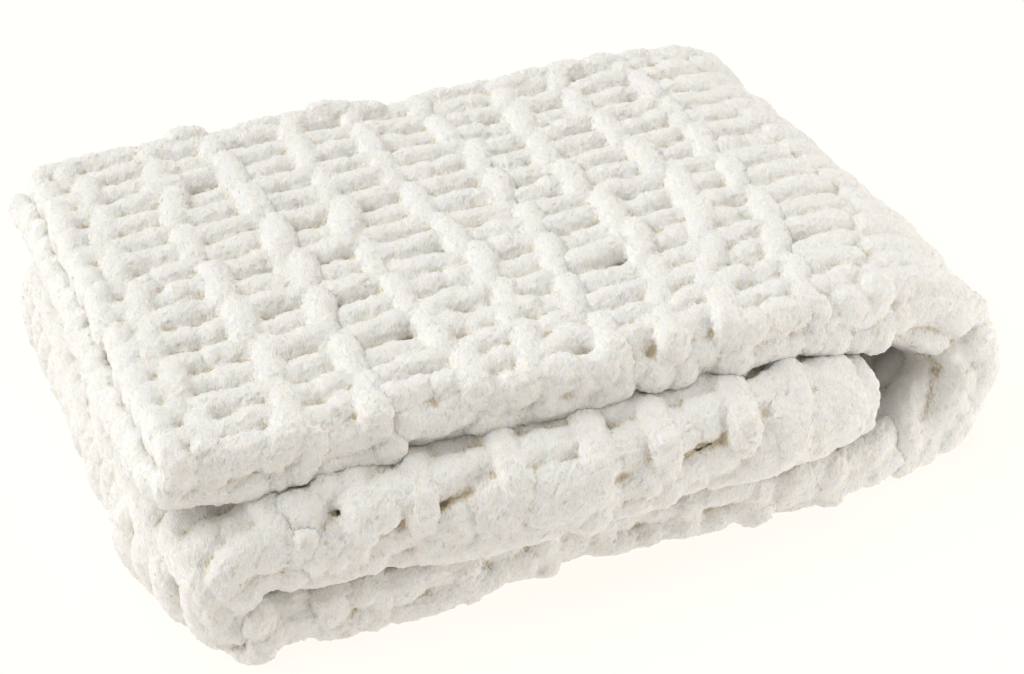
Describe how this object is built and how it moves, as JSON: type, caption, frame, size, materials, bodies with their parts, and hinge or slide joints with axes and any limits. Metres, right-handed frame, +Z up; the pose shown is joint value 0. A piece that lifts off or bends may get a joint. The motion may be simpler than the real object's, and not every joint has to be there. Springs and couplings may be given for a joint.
{
  "type": "chunky knit blanket",
  "caption": "Off-white chunky ribbed knit blanket of thick chenille yarn, doubled and letter-folded, lying flat as a soft stack.",
  "frame": {"origin": "middle of the folded stack's box, at its base", "axes": "+X along the front folds, towards the wide right-hand turn; +Y to the back, where the cloth's long edges lie; +Z up"},
  "size_m": [0.4984, 0.3678, 0.1272],
  "materials": {
    "chenille": "matt velvety chenille yarn, off-white, soft sheen, lumpy pile"
  },
  "bodies": {
    "root": {"blanket": "chenille"}
  },
  "joints": []
}
